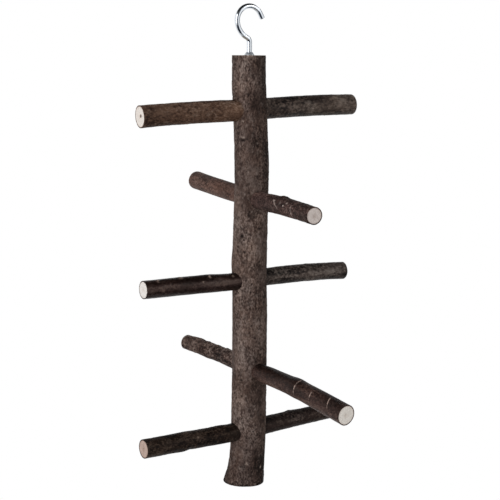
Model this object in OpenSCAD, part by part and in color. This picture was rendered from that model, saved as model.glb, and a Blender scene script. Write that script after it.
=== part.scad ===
// Hanging climbing perch: five branch rungs through an upright branch trunk, with a screw hook on top.
// Millimetres, Z up. The origin is the point under the hook's crown where the perch hangs.

/* [Trunk] */
// Length of the trunk between its two saw cuts
trunk_len = 350; // [330:1:450]
// Diameter of the trunk over the bark at the top
trunk_top_d = 26.4; // [23:0.1:34]
// Diameter of the trunk over the bark above the flared foot
trunk_foot_d = 29.5; // [24:0.1:36]
// Thickness of the trunk's bark
trunk_bark_t = 1.2; // [0.8:0.1:2]
// Height of the ridges and hollows in the trunk's bark
trunk_lump = 0.45; // [0:0.05:0.8]
// How far the root flare stands out on one side of the foot
flare_out = 4.8; // [0:0.1:8]
// Length of the root flare above the foot
flare_len = 23; // [10:1:40]

/* [Hook] */
// Diameter of the hook's wire
wire_d = 4; // [3:0.1:5]
// Clear width inside the hook's round crown
crown_inner_d = 17.6; // [14:0.2:26]
// How much wider the long bend below the crown is than the crown, in radius
neck_ease = 3.2; // [0:0.1:6]
// Angle that the wire turns in the long bend before it bends back to the shank
neck_turn = 63; // [50:1:64]
// Length of the straight wire between the long bend and the bend back to the shank
neck_straight = 1; // [0.5:0.1:2]
// How much thinner the wire is where it is bent than where it is straight
bend_thinning = 0.02; // [0.02:0.01:0.1]
// Angle above the level of the crown's centre where the wire straightens towards its tip
tip_angle = 30; // [0:1:40]
// Length of the straight tip
tip_len = 4.5; // [1:0.5:8]
// Length of the straight shank above the collar
shank_len = 7.5; // [3:0.5:20]
// Depth of the screw below the top of the trunk, point included
screw_len = 24; // [18:0.5:30]
// Length of the screw's tapered point
point_len = 5; // [3:0.5:8]

/* [Collar] */
// Diameter of the collar's foot
collar_d = 7.8; // [7:0.1:14]
// Height of the collar
collar_h = 2.3; // [1.8:0.1:4]
// Thickness of the sheet that the collar is pressed from
collar_sheet = 0.7; // [0.4:0.1:1]

/* [Rung form] */
// Thickness of the rungs' bark
rung_bark_t = 0.8; // [0.5:0.1:1.2]
// Height of the ridges and hollows in the rungs' bark
rung_lump = 0.22; // [0:0.02:0.3]
// How far each rung wanders sideways towards its ends
rung_crook = 1.2; // [0:0.1:4]

/* [Fits] */
// Glue gap all round a rung in its hole
glue_gap = 0.05; // [0.02:0.01:0.2]
// Running clearance all round the hook's shank in the collar and of its screw in the trunk
run_gap = 0.05; // [0.02:0.01:0.1]
// Gap between the collar's foot and the top of the trunk
seat_gap = 0.05; // [0.02:0.01:0.2]
// How far the scraped round neck of a rung stands out of the trunk on each side
neck_proud = 1.5; // [1:0.1:4]

/* [Rung 1] */
// Depth of the rung's axis below the top of the trunk
rung_1_depth = 41.7; // [38:0.1:60]
// Direction of the rung's back end, in degrees from +X
rung_1_heading = -0.5; // [-20:0.5:20]
// Rise of the rung towards its back end, in degrees
rung_1_tilt = 2.1; // [-4:0.1:4]
// Diameter of the hole through the trunk
rung_1_hole_d = 17; // [12:0.1:17.5]
// Length from the trunk's middle to the front end
rung_1_front_len = 94; // [50:0.5:150]
// Length from the trunk's middle to the back end
rung_1_back_len = 96.5; // [50:0.5:150]
// Diameter over the bark at the front end
rung_1_front_d = 17; // [10:0.1:20]
// Diameter over the bark at the back end
rung_1_back_d = 16.8; // [10:0.1:20]
// Sag of the front end below the line of the hole
rung_1_front_sag = -0.3; // [-4:0.1:6]
// Sag of the back end below the line of the hole
rung_1_back_sag = 1.5; // [-4:0.1:6]
// Rise of the front half's middle above a straight line
rung_1_front_bow = 0.6; // [-3:0.1:3]
// Rise of the back half's middle above a straight line
rung_1_back_bow = 0.2; // [-3:0.1:3]

/* [Rung 2] */
// Depth of the rung's axis below the top of the trunk
rung_2_depth = 111.6; // [90:0.1:140]
// Direction of the rung's back end, in degrees from +X
rung_2_heading = 89; // [70:0.5:110]
// Rise of the rung towards its back end, in degrees
rung_2_tilt = 1; // [-4:0.1:4]
// Diameter of the hole through the trunk
rung_2_hole_d = 14.2; // [11:0.1:17.5]
// Length from the trunk's middle to the front end
rung_2_front_len = 94; // [50:0.5:150]
// Length from the trunk's middle to the back end
rung_2_back_len = 99.5; // [50:0.5:150]
// Diameter over the bark at the front end
rung_2_front_d = 13.6; // [10:0.1:20]
// Diameter over the bark at the back end
rung_2_back_d = 15.9; // [10:0.1:20]
// Sag of the front end below the line of the hole
rung_2_front_sag = -0.6; // [-4:0.1:6]
// Sag of the back end below the line of the hole
rung_2_back_sag = -1.5; // [-4:0.1:6]
// Rise of the front half's middle above a straight line
rung_2_front_bow = 0.8; // [-3:0.1:3]
// Rise of the back half's middle above a straight line
rung_2_back_bow = 0.4; // [-3:0.1:3]

/* [Rung 3] */
// Depth of the rung's axis below the top of the trunk
rung_3_depth = 177.7; // [160:0.1:210]
// Direction of the rung's back end, in degrees from +X
rung_3_heading = 2.5; // [-20:0.5:20]
// Rise of the rung towards its back end, in degrees
rung_3_tilt = 1; // [-4:0.1:4]
// Diameter of the hole through the trunk
rung_3_hole_d = 14.4; // [11:0.1:17.5]
// Length from the trunk's middle to the front end
rung_3_front_len = 95; // [50:0.5:150]
// Length from the trunk's middle to the back end
rung_3_back_len = 93; // [50:0.5:150]
// Diameter over the bark at the front end
rung_3_front_d = 14.5; // [10:0.1:20]
// Diameter over the bark at the back end
rung_3_back_d = 15; // [10:0.1:20]
// Sag of the front end below the line of the hole
rung_3_front_sag = -3.9; // [-4:0.1:6]
// Sag of the back end below the line of the hole
rung_3_back_sag = 4.3; // [-4:0.1:6]
// Rise of the front half's middle above a straight line
rung_3_front_bow = 1.4; // [-3:0.1:3]
// Rise of the back half's middle above a straight line
rung_3_back_bow = -0.3; // [-3:0.1:3]

/* [Rung 4] */
// Depth of the rung's axis below the top of the trunk
rung_4_depth = 251.7; // [230:0.1:265]
// Direction of the rung's back end, in degrees from +X
rung_4_heading = 96; // [70:0.5:110]
// Rise of the rung towards its back end, in degrees
rung_4_tilt = 1.4; // [-4:0.1:4]
// Diameter of the hole through the trunk
rung_4_hole_d = 14.2; // [11:0.1:17.5]
// Length from the trunk's middle to the front end
rung_4_front_len = 121; // [50:0.5:150]
// Length from the trunk's middle to the back end
rung_4_back_len = 94.5; // [50:0.5:150]
// Diameter over the bark at the front end
rung_4_front_d = 15.9; // [10:0.1:20]
// Diameter over the bark at the back end
rung_4_back_d = 13.1; // [10:0.1:20]
// Sag of the front end below the line of the hole
rung_4_front_sag = 2.5; // [-4:0.1:6]
// Sag of the back end below the line of the hole
rung_4_back_sag = 3.2; // [-4:0.1:6]
// Rise of the front half's middle above a straight line
rung_4_front_bow = 1.3; // [-3:0.1:3]
// Rise of the back half's middle above a straight line
rung_4_back_bow = -0.1; // [-3:0.1:3]

/* [Rung 5] */
// Depth of the rung's axis below the top of the trunk
rung_5_depth = 305; // [290:0.1:310]
// Direction of the rung's back end, in degrees from +X
rung_5_heading = 4.5; // [-20:0.5:20]
// Rise of the rung towards its back end, in degrees
rung_5_tilt = -0.5; // [-4:0.1:4]
// Diameter of the hole through the trunk
rung_5_hole_d = 15.4; // [11:0.1:17.5]
// Length from the trunk's middle to the front end
rung_5_front_len = 99; // [50:0.5:150]
// Length from the trunk's middle to the back end
rung_5_back_len = 95; // [50:0.5:150]
// Diameter over the bark at the front end
rung_5_front_d = 15; // [10:0.1:20]
// Diameter over the bark at the back end
rung_5_back_d = 13.5; // [10:0.1:20]
// Sag of the front end below the line of the hole
rung_5_front_sag = -3.6; // [-4:0.1:6]
// Sag of the back end below the line of the hole
rung_5_back_sag = 0.8; // [-4:0.1:6]
// Rise of the front half's middle above a straight line
rung_5_front_bow = 0.7; // [-3:0.1:3]
// Rise of the back half's middle above a straight line
rung_5_back_bow = 0.1; // [-3:0.1:3]

/* [Hidden] */
$fn = 64;

// One row per rung, in the order of the fields below
RUNGS = [
    [rung_1_depth, rung_1_heading, rung_1_tilt, rung_1_hole_d, rung_1_front_len, rung_1_back_len,
     rung_1_front_d, rung_1_back_d, rung_1_front_sag, rung_1_back_sag,
     rung_1_front_bow, rung_1_back_bow],
    [rung_2_depth, rung_2_heading, rung_2_tilt, rung_2_hole_d, rung_2_front_len, rung_2_back_len,
     rung_2_front_d, rung_2_back_d, rung_2_front_sag, rung_2_back_sag,
     rung_2_front_bow, rung_2_back_bow],
    [rung_3_depth, rung_3_heading, rung_3_tilt, rung_3_hole_d, rung_3_front_len, rung_3_back_len,
     rung_3_front_d, rung_3_back_d, rung_3_front_sag, rung_3_back_sag,
     rung_3_front_bow, rung_3_back_bow],
    [rung_4_depth, rung_4_heading, rung_4_tilt, rung_4_hole_d, rung_4_front_len, rung_4_back_len,
     rung_4_front_d, rung_4_back_d, rung_4_front_sag, rung_4_back_sag,
     rung_4_front_bow, rung_4_back_bow],
    [rung_5_depth, rung_5_heading, rung_5_tilt, rung_5_hole_d, rung_5_front_len, rung_5_back_len,
     rung_5_front_d, rung_5_back_d, rung_5_front_sag, rung_5_back_sag,
     rung_5_front_bow, rung_5_back_bow]
];
function depth(i) = RUNGS[i][0];
function heading(i) = RUNGS[i][1];
function tilt(i) = RUNGS[i][2];
function hole_d(i) = RUNGS[i][3];
function end_len(i, s) = s < 0 ? RUNGS[i][4] : RUNGS[i][5];
function end_d(i, s) = s < 0 ? RUNGS[i][6] : RUNGS[i][7];
function end_sag(i, s) = s < 0 ? RUNGS[i][8] : RUNGS[i][9];
function half_bow(i, s) = s < 0 ? RUNGS[i][10] : RUNGS[i][11];

// Cut twigs and swollen nodes: place along the rung from the trunk's middle, side of the rung in
// degrees with 90 on top, height, length along the rung, and spread round it in degrees
RUNG_KNOTS = [
    [[-58, 300, 0.6, 7, 40]],
    [[-50, 90, 0.9, 4, 45], [-30, 210, 0.7, 6, 60], [52, 40, 0.6, 7, 50]],
    [[-38, 95, 0.5, 6, 45], [60, 200, 0.7, 7, 50]],
    [[-62.5, 80, 1.2, 5, 130], [-27, 20, 0.6, 7, 60], [30, 100, 0.9, 6, 45],
     [58, 250, 1.0, 6, 60], [80, 80, 0.8, 5, 50]],
    [[-62, 110, 0.7, 9, 60], [45, 60, 0.7, 7, 50]]
];
// The same on the trunk: depth below the top, direction in degrees from +X, height, length, spread
TRUNK_KNOTS = [
    [25, 150, 0.6, 6, 45], [167, 150, 1.1, 8, 50], [86, 300, 0.8, 9, 45], [204, 340, 0.4, 10, 50],
    [330, 250, 0.7, 8, 40]
];
// The trunk's lean: share of the way down the trunk, and how far its middle stands over
TRUNK_LEAN = [[0, 0], [0.29, 2.1], [0.48, 1.2], [0.63, 1.6], [0.85, 0.7], [1, -0.5]];
lean_heading = -30;
flare_heading = 150;

// Fineness of the branch skins: sides round, and lengths along
trunk_sides = 24;
trunk_bark_spans = 30;
trunk_wood_spans = 15;
rung_sides = 16;
rung_bark_spans = 11;
rung_wood_spans = 6;
// How far a cut runs past the face that it opens
cut_over = 1;
// How far the rough skin lies inside the round neck, and the share of a free length that counts as neck
neck_relief = 0.15;
neck_share = 0.001;

// The hook's wire runs in the XZ plane and its shank in the Z axis
crown_r = (crown_inner_d + wire_d) / 2;
crown_z = -crown_inner_d / 2;
neck_r = crown_r + neck_ease;
shank_bend_r = (crown_r - neck_straight * sin(neck_turn)) / (1 - cos(neck_turn)) - neck_r;
shank_top_z = crown_z - (neck_r + shank_bend_r) * sin(neck_turn) - neck_straight * cos(neck_turn);
collar_top_z = shank_top_z - shank_len;
trunk_top_z = collar_top_z - collar_h - seat_gap;
screw_end_z = trunk_top_z - screw_len;
tip_chamfer = wire_d / 8;
point_end_d = wire_d / 8;
// How far a straight length of wire runs into the bend that it meets
bend_lap = 0.1;

function ease(x) = let (t = min(max(x, 0), 1)) t * t * (3 - 2 * t);
function mix(a, b, t) = a + (b - a) * t;
function bump(x, width) = exp(-x * x / (width * width));
// Smallest angle between two directions
function turn_between(a, b) = abs((((a - b) % 360) + 540) % 360 - 180);
function knot_height(k, s, a) = k[2] * bump(s - k[0], k[3]) * bump(turn_between(a, k[1]), k[4]);
function knots_at(knots, s, a) = [for (k = knots) knot_height(k, s, a)] * [for (k = knots) 1];

// Smooth curve through the points of a table
function along(table, x, i = 0) =
    i >= len(table) - 2 || x <= table[i + 1][0]
        ? mix(table[i][1], table[i + 1][1], ease((x - table[i][0]) / (table[i + 1][0] - table[i][0])))
        : along(table, x, i + 1);

// The trunk's middle, and its radius over the bark without ridges
function trunk_middle(d) = along(TRUNK_LEAN, d / trunk_len) * [cos(lean_heading), sin(lean_heading)];
function trunk_plain_r(d) = mix(trunk_top_d, trunk_foot_d, d / trunk_len) / 2;
function flare(d, a) = flare_out * pow(max(cos(a - flare_heading), 0), 2)
    * pow(max(1 - (trunk_len - d) / flare_len, 0), 2);
function trunk_ridges(d, a) = trunk_lump * (0.6 * sin(3 * a + 1.9 * d) + 0.4 * sin(5 * a - 3.1 * d + 70));
function trunk_r(d, a, inset) = trunk_plain_r(d) + flare(d, a)
    + (inset > 0 ? -inset : trunk_ridges(d, a) + knots_at(TRUNK_KNOTS, d, a));

function trunk_ring(d, inset) = [for (j = [0 : trunk_sides - 1])
    let (a = j * 360 / trunk_sides, r = trunk_r(d, a, inset), m = trunk_middle(d))
    [m[0] + r * cos(a), m[1] + r * sin(a), trunk_top_z - d]];
function trunk_stations(spans, over) = [
    if (over > 0) trunk_len + over,
    for (k = [0 : spans]) trunk_len * (1 - k / spans),
    if (over > 0) -over];
function trunk_rings(spans, inset, over) = [for (d = trunk_stations(spans, over)) trunk_ring(d, inset)];

// Half the length of the round neck that a rung has in the trunk
function neck_half(i) = trunk_plain_r(depth(i)) + trunk_lump + neck_proud;
// How far along its free length a point of the rung lies, from 0 at the neck to 1 at the end
function free_share(i, s) = max(abs(s) - neck_half(i), 0) / (end_len(i, s) - neck_half(i));
function rung_plain_r(i, s) = mix(hole_d(i), end_d(i, s), abs(s) / end_len(i, s)) / 2;
function rung_ridges(i, s, a) = rung_lump
    * (0.6 * sin(2 * a + 4.1 * s + 80 * i) + 0.4 * sin(5 * a - 6.3 * s + 50 * i));
function neck_skin_r(i) = hole_d(i) / 2 - glue_gap - neck_relief;
function rung_r(i, s, a, inset) = free_share(i, s) < neck_share
    ? neck_skin_r(i) - inset
    : rung_plain_r(i, s) + (inset > 0 ? -inset : rung_ridges(i, s, a) + knots_at(RUNG_KNOTS[i], s, a));
function rung_side(i, s) = rung_crook * pow(free_share(i, s), 2)
    * sin(140 * free_share(i, s) + 75 * i + (s < 0 ? 160 : 0));
function rung_drop(i, s) = end_sag(i, s) * pow(free_share(i, s), 2)
    - half_bow(i, s) * sin(180 * free_share(i, s));
function rung_ring(i, s, inset) = [for (j = [0 : rung_sides - 1])
    let (a = j * 360 / rung_sides, r = rung_r(i, s, a, inset))
    [rung_side(i, s) + r * cos(a), r * sin(a) - rung_drop(i, s), s]];
function rung_stations(i, spans, over) = [
    if (over > 0) -end_len(i, -1) - over,
    for (k = [0 : spans]) mix(-end_len(i, -1), -neck_half(i), k / spans),
    for (k = [0 : spans]) mix(neck_half(i), end_len(i, 1), k / spans),
    if (over > 0) end_len(i, 1) + over];
function rung_rings(i, spans, inset, over) = [for (s = rung_stations(i, spans, over)) rung_ring(i, s, inset)];

// Closed skin over a stack of rings, from the lowest to the highest
module skin(rings) {
    sides = len(rings[0]);
    last = len(rings) - 1;
    points = [for (ring = rings) each ring];
    walls = [for (k = [0 : last - 1], j = [0 : sides - 1])
        let (a = k * sides + j, b = k * sides + (j + 1) % sides, c = a + sides, d = b + sides)
        each [[a, c, d], [a, d, b]]];
    foot = [for (j = [0 : sides - 1]) j];
    head = [for (j = [sides - 1 : -1 : 0]) last * sides + j];
    polyhedron(points, concat(walls, [foot, head]));
}

// Sets a rung, drawn upright round the origin, across the trunk in its hole
module across_trunk(i) {
    middle = trunk_middle(depth(i));
    translate([middle[0], middle[1], trunk_top_z - depth(i)])
        rotate([0, 0, heading(i)])
            rotate([0, -tilt(i), 0])
                rotate([90, 0, 90])
                    children();
}

// Holes through the trunk, one for each rung
module rung_holes() {
    for (i = [0 : len(RUNGS) - 1]) {
        across_trunk(i)
            cylinder(h = 2 * (trunk_foot_d + flare_out), d = hole_d(i), center = true);
    }
}

// Piece of wire bent round a point of the hook's plane, between two angles from +X
module wire_bend(x, z, r, from, to) {
    translate([x, 0, z])
        rotate([90, 0, 0])
            rotate([0, 0, from])
                rotate_extrude(angle = to - from)
                    translate([r, 0])
                        circle(d = wire_d - bend_thinning);
}

// Straight wire that starts at a point of the hook's plane and runs at an angle from straight up
module wire_straight(x, z, angle, length) {
    translate([x, 0, z])
        rotate([0, angle, 0])
            translate([0, 0, -bend_lap])
                cylinder(h = length + bend_lap, d = wire_d);
}

module screw_hook() {
    neck_end_x = neck_r - crown_r - neck_r * cos(neck_turn);
    neck_end_z = crown_z - neck_r * sin(neck_turn);
    tip_start = [crown_r * cos(tip_angle), crown_z + crown_r * sin(tip_angle)];
    color([0.78, 0.80, 0.82]) {
        wire_bend(0, crown_z, crown_r, 180, tip_angle);
        wire_bend(neck_r - crown_r, crown_z, neck_r, 180, 180 + neck_turn);
        wire_straight(neck_end_x, neck_end_z, 180 - neck_turn, neck_straight + bend_lap);
        wire_bend(-shank_bend_r, shank_top_z, shank_bend_r, 0, neck_turn);
        // Tip, with its cut end chamfered
        wire_straight(tip_start[0], tip_start[1], 180 - tip_angle, tip_len - tip_chamfer);
        translate([tip_start[0], 0, tip_start[1]])
            rotate([0, 180 - tip_angle, 0])
                translate([0, 0, tip_len - tip_chamfer])
                    cylinder(h = tip_chamfer, d1 = wire_d, d2 = wire_d - 2 * tip_chamfer);
        // Shank and screw, with the screw's point
        wire_straight(0, shank_top_z, 180, shank_top_z - screw_end_z - point_len);
        translate([0, 0, screw_end_z])
            cylinder(h = point_len, d1 = point_end_d, d2 = wire_d);
    }
}

// Pressed sheet: a short collar round the shank that spreads to a foot on the trunk
module hook_collar() {
    bore_r = wire_d / 2 + run_gap;
    foot_r = collar_d / 2;
    top_r = bore_r + collar_sheet;
    color([0.74, 0.76, 0.78])
        translate([0, 0, trunk_top_z + seat_gap])
            rotate_extrude()
                polygon([
                    [bore_r, collar_h], [top_r, collar_h], [foot_r, collar_sheet / 2], [foot_r, 0],
                    [foot_r - collar_sheet, 0], [bore_r, collar_h - 2 * collar_sheet]
                ]);
}

module trunk_wood() {
    color([0.87, 0.77, 0.62])
        difference() {
            skin(trunk_rings(trunk_wood_spans, trunk_bark_t, 0));
            rung_holes();
            translate([0, 0, screw_end_z - cut_over])
                cylinder(h = screw_len + 2 * cut_over, d = wire_d + 2 * run_gap);
        }
}

module trunk_bark() {
    color([0.33, 0.28, 0.25])
        difference() {
            skin(trunk_rings(trunk_bark_spans, 0, 0));
            skin(trunk_rings(trunk_wood_spans, trunk_bark_t, cut_over));
            rung_holes();
        }
}

module rung_wood(i) {
    color([0.89, 0.80, 0.68])
        across_trunk(i)
            skin(rung_rings(i, rung_wood_spans, rung_bark_t, 0));
}

module rung_bark(i) {
    color([0.26, 0.21, 0.19])
        across_trunk(i)
            difference() {
                union() {
                    skin(rung_rings(i, rung_bark_spans, 0, 0));
                    cylinder(h = 2 * neck_half(i), d = hole_d(i) - 2 * glue_gap, center = true);
                }
                skin(rung_rings(i, rung_wood_spans, rung_bark_t, cut_over));
            }
}

screw_hook();
hook_collar();
trunk_wood();
trunk_bark();
rung_wood(0);  // rung_1_wood
rung_wood(1);  // rung_2_wood
rung_wood(2);  // rung_3_wood
rung_wood(3);  // rung_4_wood
rung_wood(4);  // rung_5_wood
rung_bark(0);  // rung_1_bark
rung_bark(1);  // rung_2_bark
rung_bark(2);  // rung_3_bark
rung_bark(3);  // rung_4_bark
rung_bark(4);  // rung_5_bark
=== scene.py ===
import math

import bpy
import numpy as np
from mathutils import Matrix, Vector
from mathutils.bvhtree import BVHTree


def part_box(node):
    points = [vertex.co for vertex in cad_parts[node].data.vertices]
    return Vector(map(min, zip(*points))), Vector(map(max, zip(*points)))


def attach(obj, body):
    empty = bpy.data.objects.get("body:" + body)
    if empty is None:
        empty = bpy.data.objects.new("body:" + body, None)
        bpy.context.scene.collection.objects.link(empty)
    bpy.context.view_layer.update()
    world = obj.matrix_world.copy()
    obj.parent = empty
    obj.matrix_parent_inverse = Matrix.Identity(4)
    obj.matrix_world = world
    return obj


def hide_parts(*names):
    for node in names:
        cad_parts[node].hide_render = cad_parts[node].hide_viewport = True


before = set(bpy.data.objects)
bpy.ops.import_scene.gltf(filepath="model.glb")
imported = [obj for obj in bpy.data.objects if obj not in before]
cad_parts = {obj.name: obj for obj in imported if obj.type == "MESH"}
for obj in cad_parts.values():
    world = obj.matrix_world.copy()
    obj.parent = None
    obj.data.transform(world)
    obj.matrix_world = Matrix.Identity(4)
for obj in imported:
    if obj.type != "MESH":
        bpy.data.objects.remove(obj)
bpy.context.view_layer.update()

# Trunk wood. The pale core of a straight branch, sawn square at both ends. Five holes are drilled
# across it for the rungs, and one runs down from the top for the hook's screw.
MM = 0.001
X_WAY, Y_WAY, Z_WAY = Vector((1, 0, 0)), Vector((0, 1, 0)), Vector((0, 0, 1))
trunk_columns, trunk_rows = 144, 600
trunk_low, trunk_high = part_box("trunk_bark")


class Axis:
    """The straight line through a branch or a round piece, from its foot to its head. Turns round it
    count from side, and places along it from middle."""

    def __init__(self, foot, head, side, middle=0.0):
        self.foot, self.head, self.side, self.middle = foot, head, side, middle
        self.length = (head - foot).length
        self.along = (head - foot).normalized()
        self.up = self.along.cross(side)

    def rings(self, stations, radii):
        """Rings of points round the line, one ring for each station."""
        turns = math.tau * np.arange(radii.shape[1]) / radii.shape[1]
        outward = np.outer(np.cos(turns), self.side) + np.outer(np.sin(turns), self.up)
        middles = np.array(self.foot) + np.outer(stations, self.along)
        return middles[:, None, :] + radii[:, :, None] * outward[None, :, :]

    def measured(self, node, stations, columns):
        """How far a CAD node stands out from the line, at stations along it and in columns round it."""
        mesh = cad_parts[node].data
        surface = BVHTree.FromPolygons([v.co for v in mesh.vertices], [f.vertices for f in mesh.polygons])
        reach, end_margin = 40 * MM, 0.4 * MM
        radii = np.full((len(stations), columns), np.nan)
        for k, s in enumerate(np.clip(stations, end_margin, self.length - end_margin)):
            middle = self.foot + self.along * float(s)
            for j in range(columns):
                turn = math.tau * j / columns
                outward = self.side * math.cos(turn) + self.up * math.sin(turn)
                distance = surface.ray_cast(middle + outward * reach, -outward, reach)[3]
                if distance is not None:
                    radii[k, j] = reach - distance
        return radii

    def take_shape(self, branch, rows, columns):
        """Takes a branch's shape from its CAD nodes: its skin, and its wood a bark's thickness below."""
        self.stations = np.linspace(0, self.length, rows)
        self.skin = evened(bridged(self.measured(f"{branch}_bark", self.stations, columns)))
        ends = self.measured(f"{branch}_wood", [0, self.length], columns)
        self.core = self.skin - float(np.mean(self.skin[[0, -1]] - ends))


def bridged(radii):
    """Fills the gaps where a hole opens a measured skin, and a margin round them, from the rows beside
    them."""
    margin = 4
    gaps = np.isnan(radii)
    for axis in (0, 1):
        gaps = np.any([np.roll(gaps, step, axis) for step in range(-margin, margin + 1)], axis=0)
    for column, gap in zip(radii.T, gaps.T):
        column[gap] = np.interp(np.flatnonzero(gap), np.flatnonzero(~gap), column[~gap])
    return radii


def evened(radii):
    """Rounds off the flat facets of a measured skin."""
    row_reach, column_reach, bell_reaches = 6, 3, 3

    def weights(reach):
        bell = np.exp(-0.5 * (np.arange(-bell_reaches * reach, bell_reaches * reach + 1) / reach) ** 2)
        return bell / bell.sum()

    over = bell_reaches * row_reach
    padded = np.pad(radii, ((over, over), (0, 0)), mode="reflect", reflect_type="odd")
    radii = sum(w * padded[k : k + len(radii)] for k, w in enumerate(weights(row_reach)))
    shifts = enumerate(weights(column_reach), -bell_reaches * column_reach)
    return sum(w * np.roll(radii, shift, axis=1) for shift, w in shifts)


def placed(name, data):
    """New object in the scene."""
    made = bpy.data.objects.new(name, data)
    bpy.context.scene.collection.objects.link(made)
    return made


def new_piece(name, points, edges, faces):
    """New object over points, edges and faces."""
    mesh = bpy.data.meshes.new(name)
    mesh.from_pydata(points, edges, faces)
    return placed(name, mesh)


def closed_skin(name, rings, looped=False):
    """New piece over rings of points. A ring of one point is a pole, and a looped skin runs back to
    its first ring."""
    starts = np.cumsum([0] + [len(ring) for ring in rings])
    steps = [(k, k + 1) for k in range(len(rings) - 1)] + ([(len(rings) - 1, 0)] if looped else [])
    faces = []
    for here, there in steps:
        count = max(len(rings[here]), len(rings[there]))
        for j in range(count):
            after = (j + 1) % count
            lower = [j, after] if len(rings[here]) > 1 else [0]
            upper = [after, j] if len(rings[there]) > 1 else [0]
            faces.append([starts[here] + v for v in lower] + [starts[there] + v for v in upper])
    piece = new_piece(name, np.concatenate(rings).tolist(), [], faces)
    piece.data.shade_smooth()
    return piece


def plain_mesh(piece):
    """Keeps what a piece's modifiers make as its own mesh, and takes the modifiers off."""
    depsgraph = bpy.context.evaluated_depsgraph_get()
    made = bpy.data.meshes.new_from_object(
        piece.evaluated_get(depsgraph), preserve_all_data_layers=True, depsgraph=depsgraph
    )
    piece.modifiers.clear()
    piece.data = made
    made.name = piece.name


def set_finish(piece, finish):
    """Gives a whole piece one material."""
    piece.data.materials.clear()
    piece.data.materials.append(finish)
    piece.data.polygons.foreach_set("material_index", np.zeros(len(piece.data.polygons), np.int32))


def level_axis(foot, head, middle=0.0):
    """Axis whose turns count from the level direction square to it, with up a quarter turn on."""
    return Axis(foot, head, Z_WAY.cross(head - foot).normalized(), middle)


def rung_axis(number, way):
    """Axis of a rung that runs about one way, between the middles of its two sawn CAD faces. Places
    along it count from where it passes the trunk's axis."""
    square_on = 0.97
    ends = []
    for sign in (-1, 1):
        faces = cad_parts[f"rung_{number}_wood"].data.polygons
        faces = [f for f in faces if sign * f.normal.dot(way) > square_on]
        ends.append(sum((f.center * f.area for f in faces), Vector()) / sum(f.area for f in faces))
    front, back = ends
    level = (back - front).xy
    return level_axis(front, back, -front.xy.dot(level) / level.length_squared * (back - front).length)


glue_gap = 0.05 * MM
rung_ways = {1: X_WAY, 2: Y_WAY, 3: X_WAY, 4: Y_WAY, 5: X_WAY}
rung_axes = {number: rung_axis(number, way) for number, way in rung_ways.items()}


def rung_hole(number):
    """Cutter for the hole that a rung's round neck fills."""
    neck_reach, neck_columns = 8 * MM, 48
    cutter_reach, cutter_columns = 30 * MM, 96
    rung = rung_axes[number]
    stations = [rung.middle - neck_reach, rung.middle + neck_reach]
    radii = rung.measured(f"rung_{number}_bark", stations, neck_columns)
    turns = math.tau * np.arange(neck_columns) / neck_columns
    centres = []
    for station, ring in zip(stations, radii):
        across, rise = [float(2 * np.mean(ring * wave)) for wave in (np.cos(turns), np.sin(turns))]
        shift = rung.side * across + rung.up * rise
        centres.append(rung.foot + rung.along * station + shift)
    middle, way = (centres[0] + centres[1]) / 2, (centres[1] - centres[0]).normalized()
    foot, head = middle - way * cutter_reach, middle + way * cutter_reach
    cutter_radii = np.full((2, cutter_columns), float(radii.mean()) + glue_gap)
    rings = level_axis(foot, head).rings([0, 2 * cutter_reach], cutter_radii)
    return closed_skin(f"hole_{number}", [np.array([foot]), *rings, np.array([head])])


hole_cutters = [rung_hole(number) for number in rung_ways]


def drill(piece):
    """Cuts the rungs' holes through a piece of the trunk."""
    for cutter in hole_cutters:
        cut = piece.modifiers.new(cutter.name, "BOOLEAN")
        cut.operation, cut.solver, cut.object = "DIFFERENCE", "MANIFOLD", cutter


def set_values(piece, name, kind, values):
    """Stores one value for each point of a piece's mesh."""
    layer = piece.data.attributes.new(name, kind, "POINT")
    field = "vector" if kind == "FLOAT_VECTOR" else "value"
    layer.data.foreach_set(field, np.ravel(values).astype(np.float32))


def branch_places(piece, branch):
    """Stores each point's place in its branch, as distances sideways, up and along from the foot."""
    points = np.empty(len(piece.data.vertices) * 3, np.float32)
    piece.data.vertices.foreach_get("co", points)
    axes = np.stack([branch.side, branch.up, branch.along])
    places = (points.reshape(-1, 3) - np.array(branch.foot)) @ axes.T
    set_values(piece, "branch_place", "FLOAT_VECTOR", places)


trunk = Axis(Vector((0, 0, trunk_low.z)), Vector((0, 0, trunk_high.z)), X_WAY)
trunk.take_shape("trunk", trunk_rows, trunk_columns)
hook_low, hook_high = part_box("screw_hook")
wire_radius = hook_high.y
screw_gap, screw_hole_spare = 0.05 * MM, 1 * MM
screw_hole_radius = wire_radius + screw_gap
screw_hole_depth = trunk_high.z - hook_low.z + screw_hole_spare
cap_rows = 20
cap_shares = np.linspace(0, 1, cap_rows + 2)[1:-1]
saw_ridge_height, saw_ridge_width = 0.03 * MM, 1.3 * MM
saw_sway = 0.4 * saw_ridge_width
saw_stroke, saw_waver = np.array([0.83, 0.55, 0.31]), np.array([310, 270, 350])


def sawn_face(start, end, way):
    """Rings of a sawn face from a start, its middle or its rim, to an end, in the shallow ridges
    that a saw leaves."""
    rings = []
    for share in cap_shares:
        points = start + (end - start) * share
        level = points @ saw_stroke + saw_sway * np.sin(points @ saw_waver)
        ridge = saw_ridge_height * np.sin(math.tau * level / saw_ridge_width) - saw_ridge_height
        rings.append(points + np.array(way) * ridge[..., None])
    return rings


core_every = 12
sawn_edge = math.radians(50)


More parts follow.
